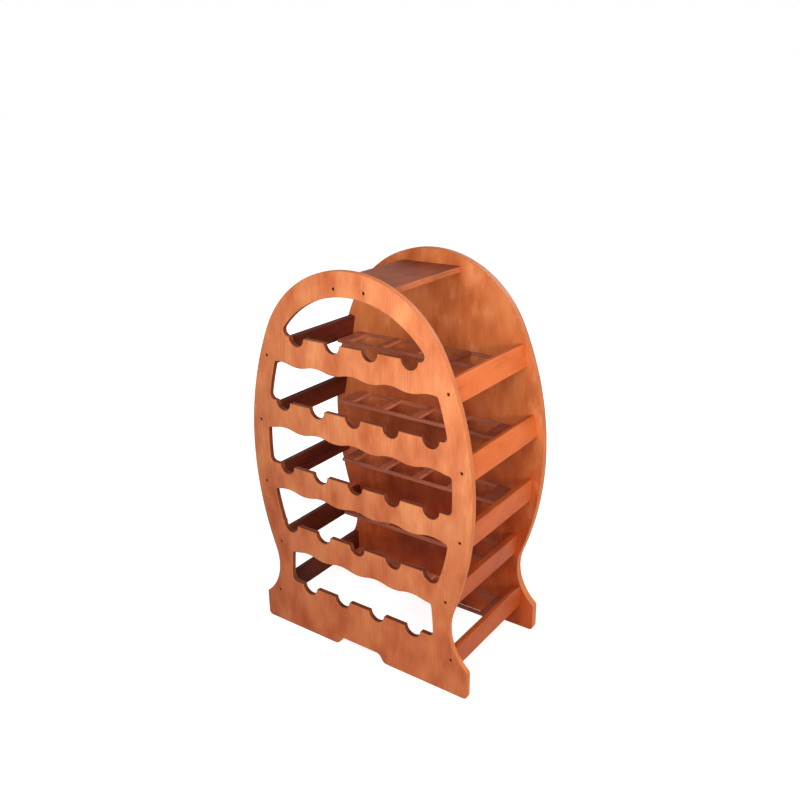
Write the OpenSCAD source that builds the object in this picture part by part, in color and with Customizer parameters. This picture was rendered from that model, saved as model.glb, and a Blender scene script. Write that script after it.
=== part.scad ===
/* [Rack] */
// Width of each end panel where its sides bulge most
rack_w = 500; // [485:1:520]
// Height of the end panels from the floor to the crown
rack_h = 760; // [745:1:780]
// Depth of the rack over both end panels
rack_d = 273; // [240:1:330]
// Thickness of the front panel
front_t = 11; // [9:0.5:20]
// Thickness of the back panel
back_t = 16; // [12:0.5:22]

/* [Panel outline] */
// Radius of the crown
crown_r = 215; // [200:1:225]
// Height at which the sides bulge most
bulge_h = 385; // [360:1:410]
// Radius of the sides below that height
side_r = 600; // [560:1:700]
// Radius of the waist above each foot
waist_r = 100; // [85:1:115]
// Height of the waist's narrowest place
waist_h = 137; // [125:1:145]
// Width over the two feet
foot_w = 488; // [470:1:510]
// Radius of the upper corner of each foot
shoulder_r = 8; // [4:0.5:14]
// Radius of the lower corner of each foot
foot_corner_r = 9; // [4:0.5:16]
// Height of the kick arch between the feet
kick_h = 18; // [10:0.5:24]
// Width of the flat top of the kick arch
kick_flat_w = 76; // [40:1:120]
// Width of the kick arch at the floor
kick_floor_w = 128; // [124:1:200]

/* [Rows of notches] */
// Distance between neighbouring notches
bottle_pitch = 83; // [78:0.5:84]
// Diameter of the notches
neck_d = 35; // [28:0.5:42]
// Notches in the top row and in the bottom row
short_row_bottles = 4; // [2:1:4]
// Notches in each of the three middle rows
long_row_bottles = 5; // [3:1:5]
// Distance from the crown down to the notched edge of row 1, the top row
row_1_drop = 134; // [126:1:142]
// Height of the notched edge of row 5, the bottom row
row_5_h = 107; // [100:1:116]
// Height of the notched edge of row 2 on the way from row 5 up to row 1
row_2_share = 0.7475; // [0.73:0.0025:0.77]
// Height of the notched edge of row 3 on that way
row_3_share = 0.4935; // [0.48:0.0025:0.51]
// Height of the notched edge of row 4 on that way
row_4_share = 0.2485; // [0.23:0.0025:0.26]

/* [Windows] */
// Height of the panel left above the arched window of row 1
crown_w = 46; // [36:1:54]
// Width of the panel left beside that window, level with the notched edge
arch_rim_w = 35; // [28:0.5:40]
// Height of the window of row 2, to the middle of its waves
window_2_h = 76; // [66:0.5:80]
// Height of the window of row 3
window_3_h = 76; // [66:0.5:80]
// Height of the window of row 4
window_4_h = 73; // [66:0.5:78]
// Height of the window of row 5
window_5_h = 71.5; // [66:0.5:76]
// Height of the waves above and below the middle of the window's top edge
wave_h = 3; // [2:0.25:4]
// Width of the panel left beside the windows of rows 2 to 4
rim_w = 41; // [36:0.5:46]
// Radius of the sides of those windows
rim_r = 545; // [500:1:600]
// Height at which those windows are widest
rim_h = 398; // [385:1:410]
// Width of the panel left between the window of row 5 and the waist
low_rim_w = 34; // [30:0.5:40]
// Radius of the sides of that window
low_rim_r = 800; // [600:10:1200]
// Height at which those sides would be furthest apart
low_rim_h = 90; // [70:1:105]
// Radius of the upper corners of the windows
upper_corner_r = 6; // [3:0.5:9]
// Radius of the lower corners of the windows
lower_corner_r = 10; // [3:0.5:12]

/* [Side rails] */
// Thickness of the rails
rail_t = 12; // [10:0.5:16]
// Height of the rails
rail_h = 44; // [36:0.5:50]
// Distance from the notched edge of row 1 down to the middle of its rails
rail_1_drop = 45; // [38:0.5:54]
// The same in row 2
rail_2_drop = 47.5; // [38:0.5:54]
// The same in row 3
rail_3_drop = 46.5; // [38:0.5:54]
// The same in row 4
rail_4_drop = 47; // [38:0.5:54]
// The same in row 5
rail_5_drop = 35.5; // [28:0.5:42]
// Distance of the middle of rail 1 from the panel's edge
rail_1_inset = 16.5; // [14:0.5:24]
// Distance of the middle of rail 2 from the panel's edge
rail_2_inset = 19.5; // [14:0.5:26]
// Distance of the middle of rail 3 from the panel's edge
rail_3_inset = 21.5; // [14:0.5:26]
// Distance of the middle of rail 4 from the panel's edge
rail_4_inset = 21; // [14:0.5:26]
// Distance of the middle of rail 5 from the panel's edge
rail_5_inset = 21; // [20:0.5:26]
// Tilt of rail 1, with its lower edge leaning outward
rail_1_tilt = 10; // [0:1:15]
// Tilt of rail 2
rail_2_tilt = 12; // [0:1:15]
// Tilt of rail 3
rail_3_tilt = 0; // [-5:1:5]
// Tilt of rail 4, whose lower edge leans inward
rail_4_tilt = -6; // [-12:1:0]
// Tilt of rail 5
rail_5_tilt = 0; // [-5:1:5]

/* [Top board] */
// Width of the top board
top_board_w = 131; // [100:1:160]
// Thickness of the top board
top_board_t = 12; // [10:0.5:16]
// Depth of the top board's surface below the crown of the panels
top_board_drop = 28; // [24:0.5:34]
// Distance between the two screws at each end of the top board
top_screw_gap = 65; // [40:1:90]

/* [Rest boards] */
// Thickness of the rest boards
rest_t = 6.5; // [5:0.5:9]
// Depth of these boards in front of the back panel
rest_d = 69; // [50:1:90]
// Depth of the housing that each board sits in
rest_housing_d = 6; // [4:0.5:9]
// Distance from the notched edge of a row down to the top of its board
rest_drop = 57.5; // [54:0.5:62]
// Width of the lath in front of the cut-outs
rest_lath_w = 5.5; // [4:0.5:12]
// Width of the bars between the cut-outs
rest_bar_w = 16; // [10:0.5:24]
// Number of cut-outs in each board
rest_cutouts = 4; // [2:1:4]
// Least distance between the boards' ends and a rail
rest_end_gap = 6; // [3:0.5:12]

/* [Screws] */
// Diameter of the screw heads
head_d = 8; // [6.5:0.5:10]
// Diameter of the screw shanks
shank_d = 4; // [3:0.5:5]
// Length of the screws
screw_l = 50; // [35:1:70]
// Length of the screws' points
point_l = 5; // [3:0.5:8]
// Clearance round the shank in the end panels
shank_gap = 0.2; // [0.1:0.05:0.5]
// Width of the cross recess in the heads
recess_w = 0.9; // [0.6:0.1:1.4]
// Length of the arms of the cross recess
recess_l = 4.4; // [3:0.2:5]
// Depth of the cross recess
recess_d = 1.4; // [0.8:0.1:2]

/* [Hidden] */
$fn = 96;

// How far a cutting shape runs past the face it cuts
overrun = 1;
// Greatest angle and length of a facet in the panels' rounded edges
facet_angle = 5;
facet_l = 8;
facets_per_wave = 16;
// Signs of the two sides and of the two end panels
left = -1;
right = 1;
front = -1;
back = 1;
rows = [1, 2, 3, 4, 5];
rail_l = rack_d - front_t - back_t;
rail_y = (front_t - back_t) / 2;
front_y = -rack_d / 2;
back_y = rack_d / 2;

// Heights and places of each row, row 1 first
row_shares = [1, row_2_share, row_3_share, row_4_share, 0];
land_h = [for (share = row_shares) row_5_h + share * (rack_h - row_1_drop - row_5_h)];
window_h = [0, window_2_h, window_3_h, window_4_h, window_5_h];
rail_drop = [rail_1_drop, rail_2_drop, rail_3_drop, rail_4_drop, rail_5_drop];
rail_z = land_h - rail_drop;
rail_inset = [rail_1_inset, rail_2_inset, rail_3_inset, rail_4_inset, rail_5_inset];
rail_tilt = [rail_1_tilt, rail_2_tilt, rail_3_tilt, rail_4_tilt, rail_5_tilt];

// The right half of the panels' outline: arcs of the crown, of the side above and below the bulge, of the
// waist and of the foot, each tangent to the next
crown_c = [0, rack_h - crown_r];
crown_rise = rack_h - crown_r - bulge_h;
top_side_r = (pow(rack_w / 2, 2) + pow(crown_rise, 2) - pow(crown_r, 2)) / (rack_w - 2 * crown_r);
top_side_c = [rack_w / 2 - top_side_r, bulge_h];
crown_join = touch(top_side_c, top_side_r, crown_c, crown_r);
side_c = [rack_w / 2 - side_r, bulge_h];
waist_reach = sqrt(pow(side_r + waist_r, 2) - pow(bulge_h - waist_h, 2));
waist_c = [side_c.x + waist_reach, waist_h];
waist_join = touch(side_c, side_r, waist_c, -waist_r);
waist_x = waist_c.x - waist_r;
shoulder_x = foot_w / 2 - shoulder_r;
shoulder_fall = sqrt(pow(waist_r + shoulder_r, 2) - pow(waist_c.x - shoulder_x, 2));
shoulder_c = [shoulder_x, waist_h - shoulder_fall];
shoulder_join = touch(waist_c, waist_r, shoulder_c, -shoulder_r);

// The kick arch's ogee is two equal arcs that meet halfway
kick_run = (kick_floor_w - kick_flat_w) / 2;
kick_r = (pow(kick_run, 2) + pow(kick_h, 2)) / (4 * kick_h);

// The waves in a window's top edge are equal arcs, a crest over each notch
wave_r = (pow(bottle_pitch / 4, 2) + pow(wave_h, 2)) / (2 * wave_h);
rim_c = [rack_w / 2 - rim_w - rim_r, rim_h];
low_rim_c = [waist_x - low_rim_w - low_rim_r, low_rim_h];
arch_x = edge_x(land_h[0]) - arch_rim_w;
arch_rise = row_1_drop - crown_w;
arch_r = (pow(arch_x, 2) + pow(arch_rise, 2)) / (2 * arch_rise);
arch_c = [0, rack_h - crown_w - arch_r];

top_board_z = rack_h - top_board_drop - top_board_t;
top_screw_z = top_board_z + top_board_t / 2;

head_h = (head_d - shank_d) / 2;
hole_r = shank_d / 2 + shank_gap;

// The rest boards are all alike, and fit between the closest pair of rails
rail_clear = min([for (row = rows) rail_x(row) - rail_t / 2]);
rest_w = 2 * (rail_clear - rest_end_gap);
rest_front_y = back_y - back_t - rest_d;
rest_cutout_w = bottle_pitch - rest_bar_w;

// Where a circle of radius r2 that touches one of radius r1 meets it, with r2 negative from outside
function touch(c1, r1, c2, r2) = c1 + (c2 - c1) * r1 / (r1 - r2);

// Where two circles cross, on the side of the line between their centres that turn gives
function crossing(c1, r1, c2, r2, turn) =
    let (
        span = norm(c2 - c1),
        dir = (c2 - c1) / span,
        along = (pow(span, 2) + pow(r1, 2) - pow(r2, 2)) / (2 * span),
        off = sqrt(pow(r1, 2) - pow(along, 2))
    )
    c1 + along * dir + turn * off * [-dir.y, dir.x];

function panel_t(end) = end == front ? front_t : back_t;

// Right-hand point of a circle at height z
function arc_x(c, r, z) = c.x + sqrt(pow(r, 2) - pow(z - c.y, 2));

// Half the panel's width at height z, above its shoulders
function edge_x(z) =
    z > crown_join.y ? arc_x(crown_c, crown_r, z)
    : z > bulge_h ? arc_x(top_side_c, top_side_r, z)
    : z > waist_join.y ? arc_x(side_c, side_r, z)
    : waist_c.x - sqrt(pow(waist_r, 2) - pow(z - waist_h, 2));

function bottles(row) = row == 1 || row == 5 ? short_row_bottles : long_row_bottles;
function last_place(row) = (bottles(row) - 1) / 2 * bottle_pitch;
function places(row) = [for (n = [0 : bottles(row) - 1]) n * bottle_pitch - last_place(row)];
function rail_x(row) = edge_x(rail_z[row - 1]) - rail_inset[row - 1];
function rest_z(row) = land_h[row - 1] - rest_drop - rest_t;

// The turn keeps the circle's first point off the edge that the circle is centred on
module disc(c, r) {
    translate(c) rotate(45) circle(r);
}

// Points of the arc of radius r about c between two of its points, the shorter way and without the last one
function arc(c, r, from, to) =
    let (
        a1 = atan2(from.y - c.y, from.x - c.x),
        a2 = atan2(to.y - c.y, to.x - c.x),
        turn = a2 - a1 - 360 * round((a2 - a1) / 360),
        n = max(ceil(abs(turn) / facet_angle), ceil(abs(turn) * PI / 180 * r / facet_l))
    )
    [for (i = [0 : n - 1]) c + r * [cos(a1 + turn * i / n), sin(a1 + turn * i / n)]];

// The same points on the left, in the order that goes on round the outline
function mirrored(points) = [for (i = [len(points) - 1 : -1 : 0]) [-points[i].x, points[i].y]];

// The right end of the kick arch, from its flat top down to the floor
function kick_end() =
    let (
        top = [kick_flat_w / 2, kick_h],
        bottom = [kick_floor_w / 2, 0],
        middle = (top + bottom) / 2
    )
    concat(
        arc(top - [0, kick_r], kick_r, top, middle),
        arc(bottom + [0, kick_r], kick_r, middle, bottom),
        [bottom]
    );

// The right half of the outline from the floor to the crown's arc
function side_edge() =
    let (corner_c = [foot_w / 2 - foot_corner_r, foot_corner_r])
    concat(
        arc(corner_c, foot_corner_r, [corner_c.x, 0], [foot_w / 2, foot_corner_r]),
        arc(shoulder_c, shoulder_r, [foot_w / 2, shoulder_c.y], shoulder_join),
        arc(waist_c, waist_r, shoulder_join, waist_join),
        arc(side_c, side_r, waist_join, [rack_w / 2, bulge_h]),
        arc(top_side_c, top_side_r, [rack_w / 2, bulge_h], crown_join)
    );

module outline() {
    half = concat(kick_end(), side_edge());
    crown_end = [-crown_join.x, crown_join.y];
    polygon(concat(half, arc(crown_c, crown_r, crown_join, crown_end), [crown_end], mirrored(half)));
}

// Centre of a window's lower corner on the right, where the window is bounded by the arc r about c
function foot_corner(row, c, r) =
    let (z = land_h[row - 1] + lower_corner_r)
    [arc_x(c, r - lower_corner_r, z), z];

function foot_join(row, c, r) = touch(c, r, foot_corner(row, c, r), lower_corner_r);

function foot_arc(row, c, r) =
    let (corner = foot_corner(row, c, r))
    arc(corner, lower_corner_r, corner - [0, lower_corner_r], foot_join(row, c, r));

// Height of a row's wavy top edge above the middle of its waves
function wave_z(row, x) =
    let (
        turns = (x - last_place(row)) / bottle_pitch,
        off_crest = abs(turns - round(turns)) * bottle_pitch,
        off_trough = bottle_pitch / 2 - off_crest
    )
    off_crest < off_trough
        ? wave_h - wave_r + sqrt(pow(wave_r, 2) - pow(off_crest, 2))
        : wave_r - wave_h - sqrt(pow(wave_r, 2) - pow(off_trough, 2));

// The wavy edge from its right end to its left end
function wave_edge(row, end, z) =
    let (
        step = bottle_pitch / facets_per_wave,
        n = ceil(end.x / step) - 1
    )
    concat(
        [end],
        [for (i = [n : -1 : -n]) [i * step, z + wave_z(row, i * step)]],
        [[-end.x, end.y]]
    );

module arched_window() {
    join = foot_join(1, arch_c, arch_r);
    foot = foot_arc(1, arch_c, arch_r);
    polygon(concat(
        foot,
        arc(arch_c, arch_r, join, [-join.x, join.y]),
        [[-join.x, join.y]],
        mirrored(foot)
    ));
}

// Window whose bulging sides are arcs of radius r, the right one about c
module wavy_window(row, c, r) {
    z = land_h[row - 1] + window_h[row - 1];
    // The top corner closes on the last crest or, where the window is wider, on the trough past it
    on_crest = arc_x(c, r, z) < last_place(row) + bottle_pitch / 4;
    turn = on_crest ? 1 : -1;
    wave_c = on_crest
        ? [last_place(row), z + wave_h - wave_r]
        : [last_place(row) + bottle_pitch / 2, z - wave_h + wave_r];
    corner = crossing(c, r - upper_corner_r, wave_c, wave_r - turn * upper_corner_r, turn);
    side_join = touch(c, r, corner, upper_corner_r);
    wave_join = touch(wave_c, wave_r, corner, turn * upper_corner_r);
    side = concat(
        foot_arc(row, c, r),
        arc(c, r, foot_join(row, c, r), side_join),
        arc(corner, upper_corner_r, side_join, wave_join)
    );
    polygon(concat(side, wave_edge(row, wave_join, z), mirrored(side)));
}

module windows() {
    arched_window();
    for (row = [2, 3, 4]) {
        wavy_window(row, rim_c, rim_r);
    }
    wavy_window(5, low_rim_c, low_rim_r);
}

module neck_notches() {
    for (row = rows, x = places(row)) {
        disc([x, land_h[row - 1]], neck_d / 2);
    }
}

// Places of the screws at one end of the rack
function screw_places() = [
    for (row = rows, side = [left, right]) [side * rail_x(row), rail_z[row - 1]],
    for (side = [left, right]) [side * top_screw_gap / 2, top_screw_z]
];

// A countersunk screw with its head at the origin, pointing up
module screw() {
    difference() {
        rotate_extrude()
            polygon([
                [0, 0], [head_d / 2, 0], [shank_d / 2, head_h],
                [shank_d / 2, screw_l - point_l], [0, screw_l]
            ]);
        for (a = [0, 90]) {
            rotate(a) translate([-recess_l / 2, -recess_w / 2, -overrun])
                cube([recess_l, recess_w, recess_d + overrun]);
        }
    }
}

// The hole for it in an end panel of thickness t: a countersink and a clearance hole
module screw_hole(t) {
    rotate_extrude()
        polygon([
            [0, -overrun], [head_d / 2, -overrun], [head_d / 2, 0],
            [hole_r, head_d / 2 - hole_r], [hole_r, t + overrun], [0, t + overrun]
        ]);
}

// Puts a shape at each screw's place on the outer face of an end panel, pointing inward
module at_screws(end) {
    for (p = screw_places()) {
        translate([p.x, end * rack_d / 2, p.y]) rotate([end * 90, 0, 0]) children();
    }
}

// Pilot holes in both ends of a piece that runs from panel to panel
module pilot_holes() {
    for (end = [front, back]) {
        translate([0, end * (rail_l / 2 + overrun), 0]) rotate([end * 90, 0, 0])
            cylinder(h = screw_l - panel_t(end) + overrun, r = shank_d / 2);
    }
}

module stand_up(t) {
    rotate([90, 0, 0]) linear_extrude(t) children();
}

module front_panel() {
    color("#cf7746") difference() {
        translate([0, front_y + front_t, 0]) stand_up(front_t) difference() {
            outline();
            windows();
            neck_notches();
        }
        at_screws(front) screw_hole(front_t);
    }
}

module back_panel() {
    color("#b9582d") difference() {
        translate([0, back_y, 0]) stand_up(back_t) outline();
        for (row = rows) {
            translate([-rest_w / 2, back_y - back_t - overrun, rest_z(row)])
                cube([rest_w, rest_housing_d + overrun, rest_t]);
        }
        at_screws(back) screw_hole(back_t);
    }
}

module top_board() {
    color("#a65133") difference() {
        translate([-top_board_w / 2, rail_y - rail_l / 2, top_board_z])
            cube([top_board_w, rail_l, top_board_t]);
        for (side = [left, right]) {
            translate([side * top_screw_gap / 2, rail_y, top_screw_z]) pilot_holes();
        }
    }
}

module rail(row, side) {
    color("#e27442")
        translate([side * rail_x(row), rail_y, rail_z[row - 1]])
        rotate([0, -side * rail_tilt[row - 1], 0])
        difference() {
            cube([rail_t, rail_l, rail_h], center = true);
            pilot_holes();
        }
}

module bottle_rest(row) {
    color("#8c4a38") difference() {
        translate([-rest_w / 2, rest_front_y, rest_z(row)])
            cube([rest_w, rest_d + rest_housing_d, rest_t]);
        for (n = [0 : rest_cutouts - 1]) {
            x = (n - (rest_cutouts - 1) / 2) * bottle_pitch;
            translate([x - rest_cutout_w / 2, rest_front_y + rest_lath_w, rest_z(row) - overrun])
                cube([rest_cutout_w, rest_d - rest_lath_w, rest_t + 2 * overrun]);
        }
    }
}

module front_screws() {
    color("#3a2a22") at_screws(front) screw();
}

module back_screws() {
    color("#3a2a22") at_screws(back) screw();
}

front_panel();
back_panel();
top_board();
rail(1, left);  // left_rail_1
rail(2, left);  // left_rail_2
rail(3, left);  // left_rail_3
rail(4, left);  // left_rail_4
rail(5, left);  // left_rail_5
rail(1, right);  // right_rail_1
rail(2, right);  // right_rail_2
rail(3, right);  // right_rail_3
rail(4, right);  // right_rail_4
rail(5, right);  // right_rail_5
bottle_rest(1);  // bottle_rest_1
bottle_rest(2);  // bottle_rest_2
bottle_rest(3);  // bottle_rest_3
bottle_rest(4);  // bottle_rest_4
bottle_rest(5);  // bottle_rest_5
front_screws();
back_screws();
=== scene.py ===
from math import cos, pi, radians, sin

import bmesh
import bpy
from mathutils import Matrix, Vector


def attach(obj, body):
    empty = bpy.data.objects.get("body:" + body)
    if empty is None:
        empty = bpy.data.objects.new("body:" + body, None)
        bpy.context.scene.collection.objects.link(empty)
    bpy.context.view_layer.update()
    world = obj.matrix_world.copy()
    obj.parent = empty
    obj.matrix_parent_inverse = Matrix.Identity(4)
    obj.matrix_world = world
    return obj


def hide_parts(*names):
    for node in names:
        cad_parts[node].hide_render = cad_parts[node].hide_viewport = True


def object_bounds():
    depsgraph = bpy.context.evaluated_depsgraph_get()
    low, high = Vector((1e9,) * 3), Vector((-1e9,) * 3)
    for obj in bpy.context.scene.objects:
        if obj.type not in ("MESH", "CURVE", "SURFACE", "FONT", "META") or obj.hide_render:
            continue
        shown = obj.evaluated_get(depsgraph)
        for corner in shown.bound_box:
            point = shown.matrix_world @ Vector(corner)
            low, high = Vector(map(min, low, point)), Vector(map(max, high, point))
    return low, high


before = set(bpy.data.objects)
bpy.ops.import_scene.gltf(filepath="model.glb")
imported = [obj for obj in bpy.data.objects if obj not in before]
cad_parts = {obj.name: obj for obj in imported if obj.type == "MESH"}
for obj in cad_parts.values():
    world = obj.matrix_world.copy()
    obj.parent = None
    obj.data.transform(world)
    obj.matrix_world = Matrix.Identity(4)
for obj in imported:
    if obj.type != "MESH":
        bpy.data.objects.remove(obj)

cad_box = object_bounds()
MM = 0.001
BODY = "root"

# Camera, solved from the photograph: place, direction and lens
CAMERA_PLACE = Vector((0.8919, -1.2313, 1.0472))
CAMERA_AZIMUTH = radians(35.70)
CAMERA_ELEVATION = radians(20.13)
CAMERA_ROLL = radians(0.88)
CAMERA_LENS_MM = 38.44
SENSOR_MM = 36.0

# How the wood is worked
ARRIS_R = 1.2 * MM       # sanded edges of the panels
RAIL_ARRIS_R = 1.5 * MM  # sanded edges of the rails and the top board
REST_ARRIS_R = 0.7 * MM  # sanded edges of the thin boards
ARRIS_ANGLE = radians(35)
ARRIS_SEGMENTS = 3
PLY_T = 1.45 * MM        # one veneer of the plywood

# Countersunk wood screws, as in the CAD
HEAD_D = 8 * MM
SHANK_D = 4 * MM
SCREW_L = 50 * MM
POINT_L = 5 * MM
RECESS_L = 4.4 * MM
RECESS_W = 0.9 * MM
RECESS_H = 1.4 * MM
TIP_R = 0.1 * MM
SCREW_SIDES = 32

# How a CAD mesh is cleaned: points this near are one, and faces this flat are joined
WELD = 0.002 * MM
FLAT_ANGLE = radians(0.3)
# Edges this near the axis of a screw belong to its hole, and stay sharp
HOLE_REACH = 0.7 * HEAD_D


def linear(hex_colour):
    """An sRGB hex colour as linear RGBA."""
    channels = [int(hex_colour[i:i + 2], 16) / 255 for i in (1, 3, 5)]
    return [c / 12.92 if c <= 0.04045 else ((c + 0.055) / 1.055) ** 2.4 for c in channels] + [1.0]


def add(tree, kind, inputs=(), **settings):
    """Adds a node with its settings, and with a value or a link for each named or numbered input."""
    node = tree.nodes.new(kind)
    for name, value in settings.items():
        setattr(node, name, value)
    for socket, value in dict(inputs).items():
        if isinstance(value, bpy.types.NodeSocket):
            tree.links.new(value, node.inputs[socket])
        elif isinstance(value, tuple) and isinstance(value[0], bpy.types.NodeSocket):
            for source in value:
                tree.links.new(source, node.inputs[socket])
        else:
            node.inputs[socket].default_value = value
    return node


def maths(tree, operation, *values):
    """The result of a sum on numbers or sockets."""
    return add(tree, "ShaderNodeMath", dict(enumerate(values)), operation=operation).outputs[0]


def mixed(tree, factor, colour, other, blend="MIX"):
    """A colour that turns into the hex colour other, or is multiplied by it, as factor goes from 0 to 1."""
    return add(tree, "ShaderNodeMix", {0: factor, 6: colour, 7: linear(other)},
               data_type="RGBA", blend_type=blend).outputs[2]


def new_material(name):
    material = bpy.data.materials.new(name)
    material.use_nodes = True
    material.node_tree.nodes.clear()
    return material, material.node_tree


def colour_ramp(tree, factor, stops):
    """A ramp between hex colours or greys: stops are (place, colour) pairs."""
    node = add(tree, "ShaderNodeValToRGB", {"Fac": factor})
    ramp = node.color_ramp
    while len(ramp.elements) < len(stops):
        ramp.elements.new(0.5)
    for element, (place, colour) in zip(ramp.elements, stops):
        element.position = place
        element.color = linear(colour) if isinstance(colour, str) else (colour, colour, colour, 1.0)
    return node.outputs["Color"]


# Materials

# For each way that the grain can run: how far patterns stretch, and the direction across the growth lines,
# which lies a little aslant
STRETCH = 0.05
ASLANT = 0.35
GRAIN = {
    "x": (Vector((STRETCH, 1.0, 1.0)), Vector((0.0, 1.0, ASLANT))),
    "y": (Vector((1.0, STRETCH, 1.0)), Vector((ASLANT, 0.0, 1.0))),
    "z": (Vector((1.0, 1.0, STRETCH)), Vector((1.0, ASLANT, 0.0))),
}
EVEN = Vector((1.0, 1.0, 1.0))
# Birch's own fibres and pores are too fine to show here, so both are drawn about five times as coarse
FIBRE_MM = 2.0
PORE_MM = 0.9
# Distance between growth lines, and the sizes of their swaying, of the clouds of stain, of the stretches
# where lines and flecks fade, and of the flecks
RING_MM = 7.5
SWAY_MM = 160
CLOUD_MM = 38
FADE_MM = 34
FLECK_MM = 19
# How far clouds and growth lines at full strength move the tone, which runs from 0 to 1
CLOUD_DEPTH = 1.3
RING_DEPTH = 0.09
# Height over which painted shade deepens towards the floor
LOW_REACH = 300 * MM
# Oval of painted shade in the middle of a panel: the height of its centre, half its width and half its height
SHADE_OVAL_Z = 297 * MM
SHADE_OVAL_HALF_W = 208 * MM
SHADE_OVAL_HALF_H = 345 * MM
# In a plywood edge: how far its plies wander, over what length, and the sizes of the specks of end grain and
# of the clouds of stain
PLY_WANDER_DEPTH = 0.3 * MM
PLY_WANDER_MM = 16
PLY_SPECK_MM = 1.4
PLY_CLOUD_MM = 40
STEEL_CLOUD_MM = 1.6
# Depth that the bumps of the grain stand for
GRAIN_DEPTH = 0.15 * MM
BUMP = 0.3


def noise(tree, place, stretch, size_mm, detail=2.0, roughness=0.5):
    """Smooth random pattern whose grains are size_mm across before the stretch."""
    where = add(tree, "ShaderNodeMapping", {"Vector": place, "Scale": stretch}).outputs["Vector"]
    return add(tree, "ShaderNodeTexNoise", {
        "Vector": where, "Scale": 1000 / size_mm, "Detail": detail, "Roughness": roughness}).outputs["Fac"]


def stained_wood(name, along, pale, middle, deep, clouds=1.0, rings=1.0, fibres=0.5, flecks=0.0, gloss=0.2,
                 curl="#ffffff", low=None, low_top=0.4, shade_oval=None):
    """Wood wiped with a reddish brown stain and finished matt. The stain gathers in soft clouds, the growth
    lines sway along the grain, fibres show as fine streaks and pores as short dark dashes. Flecks are the
    curls of birch, which take less stain and keep the colour curl. Painted shade: the colour is multiplied by
    the colour low below the height low_top, and by a second colour in an oval in the middle of a panel."""
    material, tree = new_material(name)
    stretch, cross = GRAIN[along]
    wide_stretch = Vector([share ** 0.25 for share in stretch])
    half_stretch = Vector([share ** 0.5 for share in stretch])
    place = add(tree, "ShaderNodeTexCoord").outputs["Object"]
    cloud = noise(tree, place, wide_stretch, CLOUD_MM, 3.0)
    sway = noise(tree, place, half_stretch, SWAY_MM, 2.0, 0.45)
    fibre = noise(tree, place, stretch, FIBRE_MM, 3.0, 0.6)
    pore = noise(tree, place, stretch, PORE_MM, 1.0)
    fleck = noise(tree, place, wide_stretch, FLECK_MM, 1.5)

    crosswise = add(tree, "ShaderNodeVectorMath", {0: place, 1: cross}, operation="DOT_PRODUCT")
    swayed = maths(tree, "MULTIPLY_ADD", sway, SWAY_MM * MM, crosswise.outputs["Value"])
    ring = maths(tree, "SINE", maths(tree, "MULTIPLY", swayed, 2 * pi / (RING_MM * MM)))
    # The lines, and the flecks below, fade in and out along the board
    fade = colour_ramp(tree, noise(tree, place, half_stretch, FADE_MM), [(0.42, 0.0), (0.66, 1.0)])
    ring = maths(tree, "MULTIPLY", ring, fade)

    # Tone from 0, deep, to 1, pale
    tone = maths(tree, "MULTIPLY_ADD", cloud, CLOUD_DEPTH * clouds, 0.5 - 0.5 * CLOUD_DEPTH * clouds)
    tone = maths(tree, "MULTIPLY_ADD", ring, RING_DEPTH * rings, tone)
    tone = maths(tree, "MULTIPLY_ADD", fibre, fibres, tone)
    tone = maths(tree, "SUBTRACT", tone, 0.5 * fibres)
    stained = colour_ramp(tree, tone, [(0.1, deep), (0.5, middle), (0.9, pale)])
    fleck_mask = colour_ramp(tree, fleck, [(0.54, 0.0), (0.74, flecks)])
    stained = mixed(tree, maths(tree, "MULTIPLY", fleck_mask, fade), stained, curl)
    pore_mask = colour_ramp(tree, pore, [(0.64, 0.0), (0.72, 0.3)])
    stained = mixed(tree, pore_mask, stained, deep)
    # Painted shade: the colour darkens towards the floor
    if low:
        height = add(tree, "ShaderNodeSeparateXYZ", {0: place}).outputs["Z"]
        lowness = add(tree, "ShaderNodeMapRange", {
            "Value": height, "From Min": low_top, "From Max": low_top - LOW_REACH}).outputs["Result"]
        stained = mixed(tree, lowness, stained, low, "MULTIPLY")
    # Painted shade: the colour darkens in an oval in the middle of the panel
    if shade_oval:
        # Places in the oval, as shares of its half width and half height
        oval = add(tree, "ShaderNodeMapping", {
            "Vector": place, "Location": (0.0, 0.0, -SHADE_OVAL_Z / SHADE_OVAL_HALF_H),
            "Scale": (1 / SHADE_OVAL_HALF_W, 0.0, 1 / SHADE_OVAL_HALF_H)}).outputs["Vector"]
        outward = add(tree, "ShaderNodeVectorMath", {0: oval}, operation="LENGTH").outputs["Value"]
        inward = add(tree, "ShaderNodeMapRange", {"Value": outward, "From Min": 1.0, "From Max": 0.5},
                     interpolation_type="SMOOTHSTEP").outputs["Result"]
        stained = mixed(tree, inward, stained, shade_oval, "MULTIPLY")

    roughness = maths(tree, "MULTIPLY_ADD", fibre, 0.25, 0.4)
    relief = maths(tree, "MULTIPLY_ADD", pore_mask, -2.0, fibre)
    bump = add(tree, "ShaderNodeBump", {
        "Height": relief, "Strength": BUMP, "Distance": GRAIN_DEPTH}).outputs[0]
    shader = add(tree, "ShaderNodeBsdfPrincipled", {
        "Base Color": stained, "Roughness": roughness, "Normal": bump, "IOR": 1.5,
        "Specular IOR Level": gloss}).outputs[0]
    add(tree, "ShaderNodeOutputMaterial", {"Surface": shader})
    return material


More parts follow.
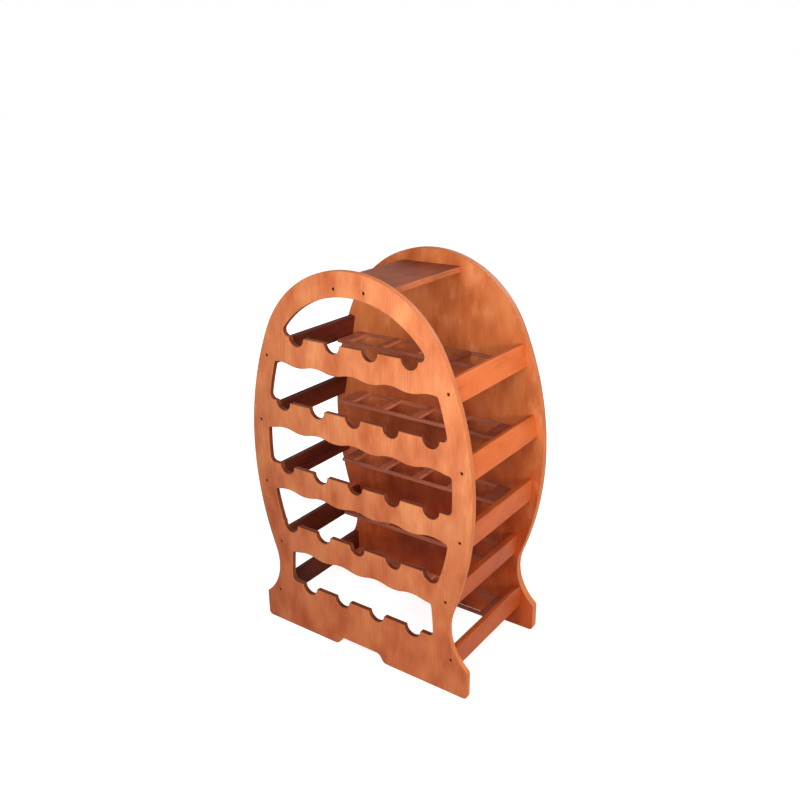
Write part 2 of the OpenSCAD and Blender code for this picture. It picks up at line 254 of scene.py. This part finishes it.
def plywood_edge(name, pale, deep):
    """The cut edge of stained plywood: veneers about 1.5 mm thick, by turns end grain, which drinks the stain
    and turns deep, and long grain, which stays paler."""
    material, tree = new_material(name)
    place = add(tree, "ShaderNodeTexCoord").outputs["Object"]
    through = add(tree, "ShaderNodeSeparateXYZ", {0: place}).outputs["Y"]
    wander = noise(tree, place, EVEN, PLY_WANDER_MM)
    speck = noise(tree, place, EVEN, PLY_SPECK_MM, 3.0)
    cloud = noise(tree, place, EVEN, PLY_CLOUD_MM, 3.0)
    depth = maths(tree, "MULTIPLY_ADD", wander, PLY_WANDER_DEPTH, through)
    # One full wave for each pair of veneers
    layer = maths(tree, "SINE", maths(tree, "MULTIPLY", depth, pi / PLY_T))
    tone = maths(tree, "MULTIPLY_ADD", speck, 0.7, -0.1)
    tone = maths(tree, "MULTIPLY_ADD", layer, 0.22, tone)
    tone = maths(tree, "MULTIPLY_ADD", cloud, 0.5, tone)
    colour = colour_ramp(tree, tone, [(0.2, deep), (0.8, pale)])
    bump = add(tree, "ShaderNodeBump", {
        "Height": tone, "Strength": BUMP, "Distance": GRAIN_DEPTH}).outputs[0]
    shader = add(tree, "ShaderNodeBsdfPrincipled", {
        "Base Color": colour, "Roughness": 0.6, "Normal": bump, "IOR": 1.5,
        "Specular IOR Level": 0.25}).outputs[0]
    add(tree, "ShaderNodeOutputMaterial", {"Surface": shader})
    return material


def browned_steel(name, dark, light):
    """Browned steel of wood screws: reddish, half dull and a little uneven."""
    material, tree = new_material(name)
    place = add(tree, "ShaderNodeTexCoord").outputs["Object"]
    stain = noise(tree, place, EVEN, STEEL_CLOUD_MM, 3.0)
    colour = colour_ramp(tree, stain, [(0.35, dark), (0.7, light)])
    roughness = maths(tree, "MULTIPLY_ADD", stain, 0.3, 0.35)
    shader = add(tree, "ShaderNodeBsdfPrincipled", {
        "Base Color": colour, "Roughness": roughness, "Metallic": 0.8}).outputs[0]
    add(tree, "ShaderNodeOutputMaterial", {"Surface": shader})
    return material


# Face veneers of the front panel: warm and cloudy, with soft streaks, and painted shade towards the feet
panel_face = stained_wood("stained_plywood_face", "z", "#e0925f", "#cc774b", "#ae552d", clouds=1.1, rings=0.7,
                          fibres=0.3, low="#ffeadb", low_top=0.35)
# Inner face of the back panel: redder, with pale curls, and painted shade behind the rows and near the floor
inner_face = stained_wood("stained_plywood_inner_face", "z", "#e08c56", "#d0743f", "#ab5128", rings=0.4,
                          fibres=0.28, flecks=0.5, curl="#f0a374", low="#f0bda2", low_top=0.5,
                          shade_oval="#cdbaba")
# Rear face of the back panel: calmer, with the same curls, and painted shade towards the floor
back_face = stained_wood("stained_plywood_back_face", "z", "#dd8d5a", "#cc7443", "#b0562c", clouds=0.7,
                         rings=0.4, fibres=0.3, flecks=0.4, curl="#e8a072", low="#ffe4d4", low_top=0.4)
# Edges of the panels: fine pale and brown stripes. In the windows they are nearly dark brown
panel_edge = plywood_edge("stained_plywood_edge", "#d98452", "#a6572f")
window_edge = plywood_edge("dark_window_plywood_edge", "#7c3c26", "#401a12")
# Sanded arrises: a thin dull line between face and edge
arris_wood = stained_wood("stained_sanded_arris", "z", "#d0804e", "#be6d3e", "#a45932", clouds=0.6,
                          gloss=0.05)
# Rails: the brightest orange of the rack, with painted shade darkening the lower rows
rail_wood = stained_wood("stained_rail_wood", "y", "#e67f48", "#da7036", "#b85420", clouds=0.8, rings=0.6,
                         fibres=0.4, low="#cdbab1", low_top=0.5)
# Sides of the left rails that look inwards, and their tops: painted shade, a deep, dull red-brown
rail_painted_shade = stained_wood("painted_shade_rail_wood", "y", "#6e3322", "#5c271b", "#411710", clouds=0.7,
                               gloss=0.06)
# Top board: pale edges round an upper face darkened with painted shade, a deep brown
board_wood = stained_wood("stained_top_board_wood", "y", "#d57e55", "#bc6f49", "#975338", gloss=0.06)
top_board_painted_shade = stained_wood("painted_shade_top_board_wood", "y", "#b05a3a", "#9c4f31", "#7c3a25", gloss=0.06)
# Rest boards: a dusty red-brown that stands out against the painted shade behind them
rest_wood = stained_wood("stained_rest_board_wood", "x", "#be7459", "#ac644c", "#874736")
# Screws: small dark dots. Their recesses are nearly black: dark oxide on the steel, deepened with painted
# shade
screw_steel = browned_steel("browned_screw_steel", "#451a10", "#6e3320")
recess_steel = browned_steel("dark_screw_recess", "#1c0d08", "#3a1c12")


# Pieces

def mesh_object(name, mesh):
    piece = bpy.data.objects.new(name, mesh)
    bpy.context.scene.collection.objects.link(piece)
    return piece


def baked(piece):
    """Turns the piece's live modifiers into its mesh."""
    graph = bpy.context.evaluated_depsgraph_get()
    mesh = bpy.data.meshes.new_from_object(piece.evaluated_get(graph))
    piece.modifiers.clear()
    piece.data = mesh
    return piece


def welded_shape(node):
    """A CAD node's mesh, with the points of neighbouring triangles joined."""
    shape = bmesh.new()
    shape.from_mesh(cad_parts[node].data)
    bmesh.ops.remove_doubles(shape, verts=shape.verts, dist=WELD)
    return shape


def joined_faces(shape, faces):
    """Sets of the given faces that hang together, in the order of their first face."""
    shape.faces.index_update()
    shape.faces.ensure_lookup_table()
    waiting = {face.index for face in faces}
    found = []
    for start in sorted(waiting):
        if start not in waiting:
            continue
        waiting.discard(start)
        group, reach = [], [start]
        while reach:
            face = shape.faces[reach.pop()]
            group.append(face)
            for near in {other.index for edge in face.edges for other in edge.link_faces} & waiting:
                waiting.discard(near)
                reach.append(near)
        found.append(group)
    return found


def screw_places(node):
    """The axes of a CAD node's screws, as (x, z), from the lowest up and from left to right."""
    shape = welded_shape(node)
    places = []
    for solid in joined_faces(shape, shape.faces):
        points = [vert.co for face in solid for vert in face.verts]
        xs, zs = [p.x for p in points], [p.z for p in points]
        places.append(((min(xs) + max(xs)) / 2, (min(zs) + max(zs)) / 2))
    shape.free()
    return sorted(places, key=lambda place: (round(place[1], 4), place[0]))


SCREW_AXES = screw_places("front_screws")


def plain_copy(node, name):
    """A copy of a CAD node's mesh with its triangles joined into flat faces. Its sharp edges are marked for
    sanding, but for the rims of its screw holes."""
    mesh = bpy.data.meshes.new(name)
    shape = welded_shape(node)
    bmesh.ops.dissolve_limit(shape, angle_limit=FLAT_ANGLE, verts=shape.verts, edges=shape.edges)
    weight = shape.edges.layers.float.new("bevel_weight_edge")
    for edge in shape.edges:
        middle = (edge.verts[0].co + edge.verts[1].co) / 2
        near_screw = any((middle.x - x) ** 2 + (middle.z - z) ** 2 < HOLE_REACH ** 2 for x, z in SCREW_AXES)
        if edge.calc_face_angle(0) > ARRIS_ANGLE and not near_screw:
            edge[weight] = 1.0
    shape.to_mesh(mesh)
    shape.free()
    return mesh_object(name, mesh)


def sanded(piece, radius):
    """Rounds the piece's marked edges, as sandpaper does, and keeps its flat faces flat."""
    bevel = piece.modifiers.new("arris", "BEVEL")
    bevel.width = radius
    bevel.segments = ARRIS_SEGMENTS
    bevel.limit_method = "WEIGHT"
    bevel.use_clamp_overlap = False
    weighted = piece.modifiers.new("flat faces", "WEIGHTED_NORMAL")
    weighted.keep_sharp = True
    for face in piece.data.polygons:
        face.use_smooth = True
    return baked(piece)


def finished(piece, node):
    """Puts the piece in the CAD node's place."""
    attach(piece, BODY)
    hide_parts(node)


def panel(node, name, front_material, rear_material):
    """An end panel: face veneers in front and behind, and layers all round its edges. The edges in its
    windows are darker."""
    piece = sanded(plain_copy(node, name), ARRIS_R)
    piece.data.materials.clear()
    for material in (front_material, rear_material, panel_edge, window_edge, arris_wood):
        piece.data.materials.append(material)
    in_front, behind, outside, in_window, on_arris = range(5)
    # How squarely a normal points along the panel's depth: nearly 1 on its faces and nearly 0 on its edges
    face_share, edge_share = 0.999, 0.02
    shape = bmesh.new()
    shape.from_mesh(piece.data)
    edge_faces = []
    for face in shape.faces:
        depthwise = face.normal.y
        if depthwise < -face_share:
            face.material_index = in_front
        elif depthwise > face_share:
            face.material_index = behind
        else:
            face.material_index = on_arris
        if abs(depthwise) < edge_share:
            edge_faces.append(face)
    for ring in joined_faces(shape, edge_faces):
        heights = [vert.co.z for face in ring for vert in face.verts]
        is_outline = max(heights) - min(heights) > cad_box[1][2] / 2
        for face in ring:
            face.material_index = outside if is_outline else in_window
    shape.to_mesh(piece.data)
    shape.free()
    finished(piece, node)


# A board's face looks up, or to the right, where its normal has at least this share of that direction. The
# lower share for the right takes in the arris of the left rails' inner faces.
UP_SHARE = 0.6
RIGHT_SHARE = 0.3


def looks_up(normal):
    return normal.z > UP_SHARE


def looks_up_or_right(normal):
    return normal.z > UP_SHARE or normal.x > RIGHT_SHARE


def board(node, name, material, radius, other_material=None, takes_other=None):
    """A solid board. The faces whose normals takes_other picks can have another material."""
    piece = sanded(plain_copy(node, name), radius)
    piece.data.materials.clear()
    piece.data.materials.append(material)
    if other_material:
        piece.data.materials.append(other_material)
        for face in piece.data.polygons:
            face.material_index = 1 if takes_other(face.normal) else 0
    finished(piece, node)


panel("front_panel", "front_panel_plywood", panel_face, panel_face)
panel("back_panel", "back_panel_plywood", inner_face, back_face)
# The top board's upper face, and the left rails' inward sides and tops, take materials of painted shade
board("top_board", "top_board_wood", board_wood, RAIL_ARRIS_R, top_board_painted_shade, looks_up)
for row in range(1, 6):
    for side, inner_wood in (("left", rail_painted_shade), ("right", None)):
        board(f"{side}_rail_{row}", f"{side}_rail_{row}_wood", rail_wood, RAIL_ARRIS_R,
              inner_wood, looks_up_or_right)
    board(f"bottle_rest_{row}", f"bottle_rest_{row}_wood", rest_wood, REST_ARRIS_R)


def cone(tree, bottom_r, top_r, length, start):
    """A cone or cylinder round the Z axis that reaches from start upwards."""
    mesh = add(tree, "GeometryNodeMeshCone", {
        "Vertices": SCREW_SIDES, "Radius Top": top_r, "Radius Bottom": bottom_r, "Depth": length})
    lift = add(tree, "ShaderNodeCombineXYZ", {"Z": start})
    return add(tree, "GeometryNodeTransform", {
        "Geometry": mesh.outputs["Mesh"], "Translation": lift.outputs[0]}).outputs[0]


def screw_maker():
    """Geometry nodes that put a countersunk screw with a cross recess on each point. Turn points the screws,
    and each is driven to a stop of its own."""
    tree = bpy.data.node_groups.new("countersunk_screws", "GeometryNodeTree")
    for name, kind in (
            ("Places", "Geometry"), ("Turn", "Vector"), ("Head Diameter", "Float"),
            ("Shank Diameter", "Float"), ("Length", "Float"), ("Point Length", "Float"),
            ("Recess Length", "Float"), ("Recess Width", "Float"), ("Recess Depth", "Float"),
            ("Seed", "Int"), ("Steel", "Material"), ("Recess Steel", "Material")):
        tree.interface.new_socket(name, in_out="INPUT", socket_type="NodeSocket" + kind)
    tree.interface.new_socket("Screws", in_out="OUTPUT", socket_type="NodeSocketGeometry")
    given = add(tree, "NodeGroupInput").outputs

    head_r = maths(tree, "MULTIPLY", given["Head Diameter"], 0.5)
    shank_r = maths(tree, "MULTIPLY", given["Shank Diameter"], 0.5)
    head_h = maths(tree, "SUBTRACT", head_r, shank_r)
    # The shank starts inside the head
    shank_start = maths(tree, "MULTIPLY", head_h, 0.5)
    shank_end = maths(tree, "SUBTRACT", given["Length"], given["Point Length"])
    shank_l = maths(tree, "SUBTRACT", shank_end, shank_start)
    head = cone(tree, head_r, shank_r, head_h, 0.0)
    shank = cone(tree, shank_r, shank_r, shank_l, shank_start)
    point = cone(tree, shank_r, TIP_R, given["Point Length"], shank_end)
    whole = add(tree, "GeometryNodeMeshBoolean", {"Mesh 2": (head, shank, point)},
                operation="UNION").outputs["Mesh"]

    # The arms reach as far above the head's face as below it
    both_ways = maths(tree, "MULTIPLY", given["Recess Depth"], 2.0)
    long_size = add(tree, "ShaderNodeCombineXYZ", {
        "X": given["Recess Length"], "Y": given["Recess Width"], "Z": both_ways}).outputs[0]
    cross_size = add(tree, "ShaderNodeCombineXYZ", {
        "X": given["Recess Width"], "Y": given["Recess Length"], "Z": both_ways}).outputs[0]
    arms = tuple(
        add(tree, "GeometryNodeMeshCube", {"Size": size}).outputs["Mesh"] for size in (long_size, cross_size))
    screw = add(tree, "GeometryNodeMeshBoolean", {"Mesh 1": whole, "Mesh 2": arms},
                operation="DIFFERENCE").outputs["Mesh"]

    # Faces of the recess lie under the head's face and inside the reach of its arms. The shares just over
    # one half and one leave a hair to spare
    where = add(tree, "ShaderNodeSeparateXYZ", {0: add(tree, "GeometryNodeInputPosition").outputs[0]}).outputs
    flat = add(tree, "ShaderNodeCombineXYZ", {"X": where["X"], "Y": where["Y"]}).outputs[0]
    off_axis = add(tree, "ShaderNodeVectorMath", {0: flat}, operation="LENGTH").outputs["Value"]
    in_reach = maths(tree, "LESS_THAN", off_axis, maths(tree, "MULTIPLY", given["Recess Length"], 0.51))
    over_floor = maths(tree, "LESS_THAN", where["Z"], maths(tree, "MULTIPLY", given["Recess Depth"], 1.01))
    under_face = maths(tree, "GREATER_THAN", where["Z"], 0.02 * MM)
    inside = maths(tree, "MULTIPLY", maths(tree, "MULTIPLY", in_reach, over_floor), under_face)
    screw = add(tree, "GeometryNodeStoreNamedAttribute", {
        "Geometry": screw, "Name": "in_recess", "Value": inside},
        data_type="BOOLEAN", domain="FACE").outputs[0]

    turn = add(tree, "FunctionNodeEulerToRotation", {0: given["Turn"]}).outputs[0]
    placed = add(tree, "GeometryNodeInstanceOnPoints", {
        "Points": given["Places"], "Instance": screw, "Rotation": turn}).outputs["Instances"]
    stop = add(tree, "FunctionNodeRandomValue", {2: 0.0, 3: pi / 2, "Seed": given["Seed"]},
               data_type="FLOAT").outputs[1]
    spin = add(tree, "ShaderNodeCombineXYZ", {"Z": stop}).outputs[0]
    placed = add(tree, "GeometryNodeRotateInstances", {
        "Instances": placed, "Rotation": add(tree, "FunctionNodeEulerToRotation", {0: spin}).outputs[0],
        "Local Space": True}).outputs[0]
    real = add(tree, "GeometryNodeRealizeInstances", {"Geometry": placed}).outputs[0]
    steel = add(tree, "GeometryNodeSetMaterial", {"Geometry": real, "Material": given["Steel"]}).outputs[0]
    dark = add(tree, "GeometryNodeInputNamedAttribute", {"Name": "in_recess"}, data_type="BOOLEAN").outputs[0]
    done = add(tree, "GeometryNodeSetMaterial", {
        "Geometry": steel, "Selection": dark, "Material": given["Recess Steel"]}).outputs[0]
    add(tree, "NodeGroupOutput", {"Screws": done})
    return tree


def screws(node, name, face_y, quarter_turn, seed):
    """The screws of one end panel, with their heads' faces at face_y."""
    mesh = bpy.data.meshes.new(name)
    mesh.from_pydata([(x, face_y, z) for x, z in screw_places(node)], [], [])
    piece = mesh_object(name, mesh)
    maker = piece.modifiers.new("screws", "NODES")
    maker.node_group = screw_tree
    sizes = {
        "Turn": (quarter_turn, 0.0, 0.0), "Head Diameter": HEAD_D, "Shank Diameter": SHANK_D,
        "Length": SCREW_L, "Point Length": POINT_L, "Recess Length": RECESS_L, "Recess Width": RECESS_W,
        "Recess Depth": RECESS_H, "Seed": seed, "Steel": screw_steel, "Recess Steel": recess_steel}
    for socket in screw_tree.interface.items_tree:
        if socket.name in sizes:
            maker[socket.identifier] = sizes[socket.name]
    finished(baked(piece), node)


screw_tree = screw_maker()
screws("front_screws", "front_wood_screws", cad_box[0][1], -pi / 2, 3)
screws("back_screws", "back_wood_screws", cad_box[1][1], pi / 2, 8)


# Stage, light and camera

WHITE = (1.0, 1.0, 1.0, 1.0)
GREY = (0.5, 0.5, 0.5, 1.0)
AMBIENT = 0.07
FLOOR_REACH = 30.0
# The floor's own light near the rack, and the distances over which it rises to white
FLOOR_GLOW = 0.82
GLOW_START = 0.4
GLOW_END = 1.8
# Name, place, target, width in metres, power in watts and colour. The key lamp stands to the right, the front
# and high lamps fill the front panel, the back lamp lights the rims and the left lamp the left rails.
LAMPS = (
    ("key_lamp", (3.8, -0.7, 1.5), (0, 0, 0.4), 0.5, 103, "#fff0e0"),
    ("front_lamp", (0.35, -0.8, 0.78), (0, 0, 0.4), 0.5, 6.1, "#ffffff"),
    ("high_lamp", (0.1, -0.8, 1.3), (0, 0, 0.5), 0.5, 3.3, "#ffffff"),
    ("back_lamp", (0.2, 2.4, 1.3), (0, 0, 0.4), 1.0, 50, "#ffffff"),
    ("left_lamp", (-2.4, 0.3, 1.2), (0, 0, 0.4), 0.8, 9, "#ffffff"),
)


def seen_directly(tree):
    """1 for what the camera sees, also in a reflection or through a clear piece, and 0 for light on the
    object."""
    paths = add(tree, "ShaderNodeLightPath").outputs
    seen = maths(tree, "MAXIMUM", paths["Is Camera Ray"], paths["Is Glossy Ray"])
    return maths(tree, "MAXIMUM", seen, paths["Is Transmission Ray"])


def stage_floor():
    """Pale floor that keeps the rack's shadow and turns white further out."""
    material, tree = new_material("pale_studio_floor")
    place = add(tree, "ShaderNodeTexCoord").outputs["Object"]
    far = add(tree, "ShaderNodeVectorMath", {0: place}, operation="LENGTH").outputs["Value"]
    glow = add(tree, "ShaderNodeMapRange", {
        "Value": far, "From Min": GLOW_START, "From Max": GLOW_END, "To Min": FLOOR_GLOW,
        "To Max": 1.0}).outputs["Result"]
    strength = maths(tree, "MULTIPLY", glow, seen_directly(tree))
    shade = add(tree, "ShaderNodeBsdfDiffuse", {"Color": GREY}).outputs[0]
    light = add(tree, "ShaderNodeEmission", {"Color": WHITE, "Strength": strength}).outputs[0]
    both = add(tree, "ShaderNodeAddShader", {0: shade, 1: light}).outputs[0]
    add(tree, "ShaderNodeOutputMaterial", {"Surface": both})
    mesh = bpy.data.meshes.new("studio_floor")
    corners = [(-1, -1), (1, -1), (1, 1), (-1, 1)]
    mesh.from_pydata([(x * FLOOR_REACH, y * FLOOR_REACH, 0) for x, y in corners], [], [(0, 1, 2, 3)])
    mesh.materials.append(material)
    mesh_object("studio_floor", mesh)


def studio_world():
    """White all round for the camera, and only a little light from everywhere on the object."""
    world = bpy.data.worlds.new("studio")
    bpy.context.scene.world = world
    world.use_nodes = True
    tree = world.node_tree
    tree.nodes.clear()
    strength = maths(tree, "MULTIPLY_ADD", seen_directly(tree), 1.0 - AMBIENT, AMBIENT)
    sky = add(tree, "ShaderNodeBackground", {"Color": WHITE, "Strength": strength}).outputs[0]
    add(tree, "ShaderNodeOutputWorld", {"Surface": sky})


def soft_lamp(name, place, target, size, power, colour):
    """A round lamp that points at the target, and that the camera doesn't see."""
    lamp = bpy.data.lights.new(name, "AREA")
    lamp.color = linear(colour)[:3]
    lamp.shape = "DISK"
    lamp.size = size
    lamp.energy = power
    holder = bpy.data.objects.new(name, lamp)
    holder.visible_camera = False
    bpy.context.scene.collection.objects.link(holder)
    holder.location = place
    holder.rotation_euler = (Vector(target) - Vector(place)).to_track_quat("-Z", "Y").to_euler()


def photo_camera():
    lens = bpy.data.cameras.new("camera")
    lens.lens = CAMERA_LENS_MM
    lens.sensor_width = SENSOR_MM
    lens.clip_end = 100
    camera = bpy.data.objects.new("camera", lens)
    bpy.context.scene.collection.objects.link(camera)
    bpy.context.scene.camera = camera
    flat = cos(CAMERA_ELEVATION)
    ahead = Vector((-sin(CAMERA_AZIMUTH) * flat, cos(CAMERA_AZIMUTH) * flat, -sin(CAMERA_ELEVATION)))
    level = Vector((cos(CAMERA_AZIMUTH), sin(CAMERA_AZIMUTH), 0))
    down = ahead.cross(level)
    across = cos(CAMERA_ROLL) * level + sin(CAMERA_ROLL) * down
    up = sin(CAMERA_ROLL) * level - cos(CAMERA_ROLL) * down
    turned = Matrix((across, up, -ahead)).transposed().to_4x4()
    turned.translation = CAMERA_PLACE
    camera.matrix_world = turned


stage_floor()
studio_world()
for lamp in LAMPS:
    soft_lamp(*lamp)
photo_camera()
bpy.context.scene.view_settings.view_transform = "Standard"
